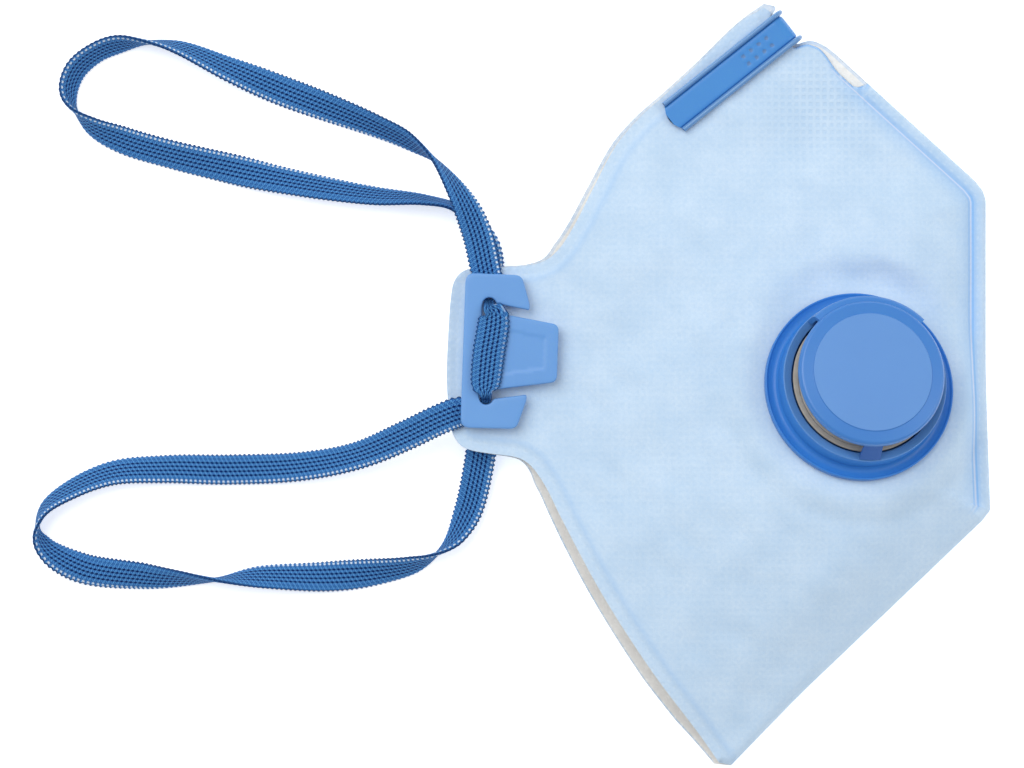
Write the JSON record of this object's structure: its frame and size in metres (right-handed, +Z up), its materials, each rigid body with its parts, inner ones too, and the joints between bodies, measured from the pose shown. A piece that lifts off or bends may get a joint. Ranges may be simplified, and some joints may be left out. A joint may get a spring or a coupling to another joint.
{
  "type": "valved anti-smog mask",
  "caption": "Flat-folded half mask of pale blue filter cloth with a tilted exhalation valve, a folded nose clip, strap buckles on its cheek tabs and elastic head loops.",
  "frame": {"origin": "middle of the underside of the mask without its straps, on the surface that it lies on", "axes": "+Z up out of the half that carries the valve, +Y from the chin end to the nose end, +X from the face edge and straps to the front seam"},
  "size_m": [0.1917, 0.1526, 0.0289],
  "materials": {
    "cloth": "spunbond nonwoven, matte, fine point emboss, white inside",
    "clip": "soft satin strip with two wire ribs",
    "valve_body": "moulded, satin",
    "membrane": "thin, matte",
    "valve_cap": "fine matte disc in a satin rim",
    "buckle": "moulded, satin",
    "elastic": "knitted elastic with pale cores showing at its edges"
  },
  "bodies": {
    "root": {"facepiece": "cloth", "nose_clip": "clip", "valve_base": "valve_body", "valve_membrane": "membrane", "valve_cap": "valve_cap", "buckle_front": "buckle", "buckle_back": "buckle", "strap_crossing_front": "elastic", "strap_crossing_back": "elastic", "upper_strap": "elastic", "lower_strap": "elastic"}
  },
  "joints": []
}
